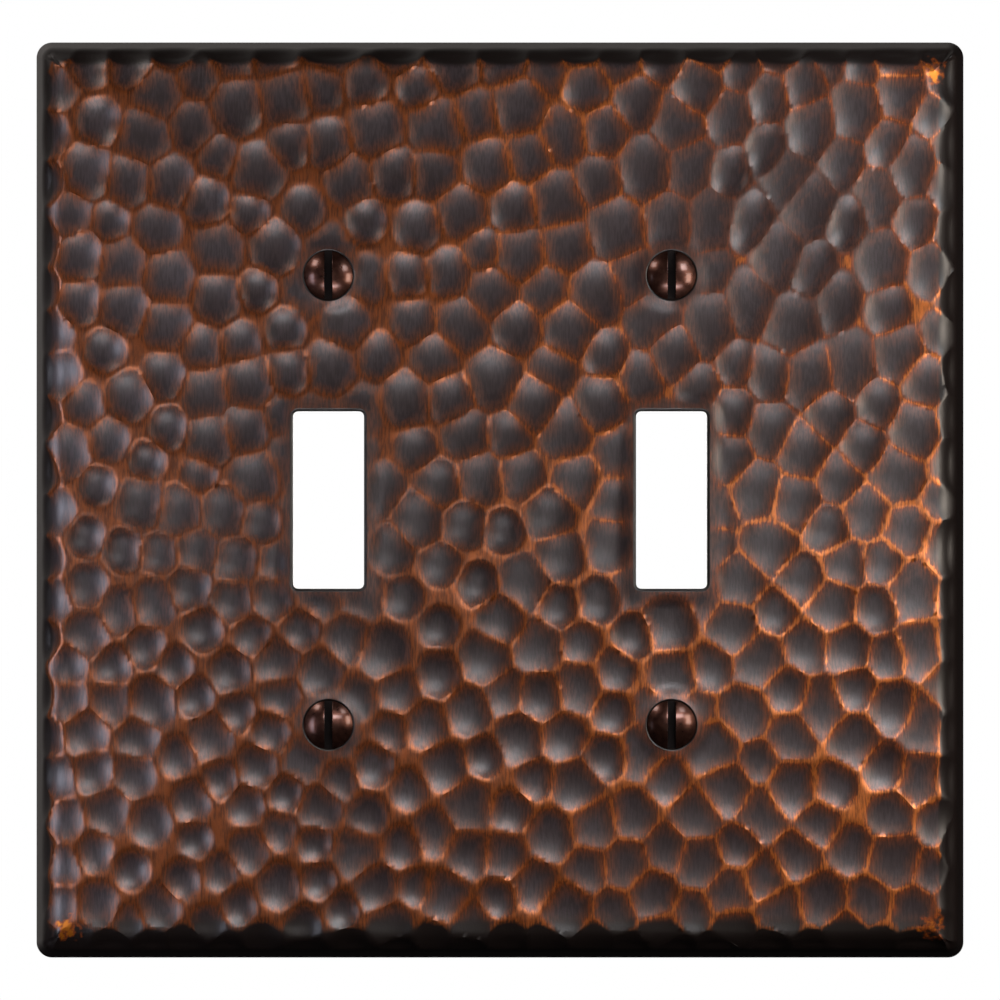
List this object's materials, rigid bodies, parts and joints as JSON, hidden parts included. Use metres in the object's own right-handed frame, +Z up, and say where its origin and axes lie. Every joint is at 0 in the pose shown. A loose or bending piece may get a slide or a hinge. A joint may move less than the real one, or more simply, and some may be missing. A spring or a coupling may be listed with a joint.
{
  "type": "toggle switch wall plate",
  "caption": "Toggle switch wall plate in hammered, patinated copper: a shallow pressed shell with rectangular openings and slotted oval-head screws in dimpled seats.",
  "frame": {"origin": "middle of the four-screw pattern, on the wall plane that the rim rests on", "axes": "+X to the right seen from the room, +Z up, +Y into the wall, so the face looks along -Y"},
  "size_m": [0.1254, 0.0138, 0.1238],
  "materials": {
    "patinated_copper": "hand-hammered copper sheet with a dark brown patina, rubbed back to copper on the ridges, satin lacquer",
    "bronzed_steel": "steel with a glossy dark bronze coating"
  },
  "bodies": {
    "plate": {"wall_plate": "patinated_copper"},
    "upper_left_screw": {"upper_left_screw": "bronzed_steel"},
    "upper_right_screw": {"upper_right_screw": "bronzed_steel"},
    "lower_left_screw": {"lower_left_screw": "bronzed_steel"},
    "lower_right_screw": {"lower_right_screw": "bronzed_steel"}
  },
  "joints": [
    {"name": "upper_left_screw_turn", "type": "hinge", "parent": "plate", "child": "upper_left_screw", "pos_m": [-0.02302, 0, 0.03016], "axis": [0, 1, 0], "continuous": true},
    {"name": "upper_right_screw_turn", "type": "hinge", "parent": "plate", "child": "upper_right_screw", "pos_m": [0.02302, 0, 0.03016], "axis": [0, 1, 0], "continuous": true},
    {"name": "lower_left_screw_turn", "type": "hinge", "parent": "plate", "child": "lower_left_screw", "pos_m": [-0.02302, 0, -0.03016], "axis": [0, 1, 0], "continuous": true},
    {"name": "lower_right_screw_turn", "type": "hinge", "parent": "plate", "child": "lower_right_screw", "pos_m": [0.02302, 0, -0.03016], "axis": [0, 1, 0], "continuous": true}
  ]
}
